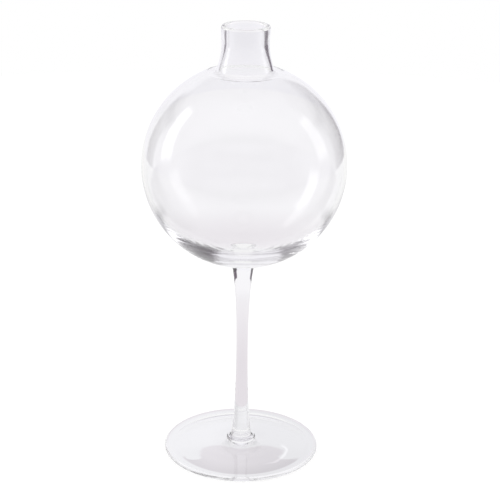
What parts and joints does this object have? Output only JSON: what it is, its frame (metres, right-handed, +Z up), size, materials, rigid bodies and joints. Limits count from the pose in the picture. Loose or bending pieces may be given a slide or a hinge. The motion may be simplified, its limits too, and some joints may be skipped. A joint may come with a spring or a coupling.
{
  "type": "stemmed glass vase",
  "caption": "Clear glass vase with a round globe bowl and a short open neck, on a slender drawn stem and a wide flat round foot.",
  "frame": {"origin": "centre of the flat circle under the foot, on the surface that the vase stands on", "axes": "+Z is up along the axis that all the pieces are turned about; X and Y are square to it and otherwise free"},
  "size_m": [0.1354, 0.1354, 0.2994],
  "materials": {
    "blown_glass": "clear and colourless, blown, fire-polished, with faint waviness",
    "drawn_glass": "clear and colourless, solid, drawn and spun hot, fire-polished"
  },
  "bodies": {
    "root": {"foot": "drawn_glass", "collar": "drawn_glass", "stem": "drawn_glass", "globe": "blown_glass", "neck": "blown_glass"}
  },
  "joints": []
}
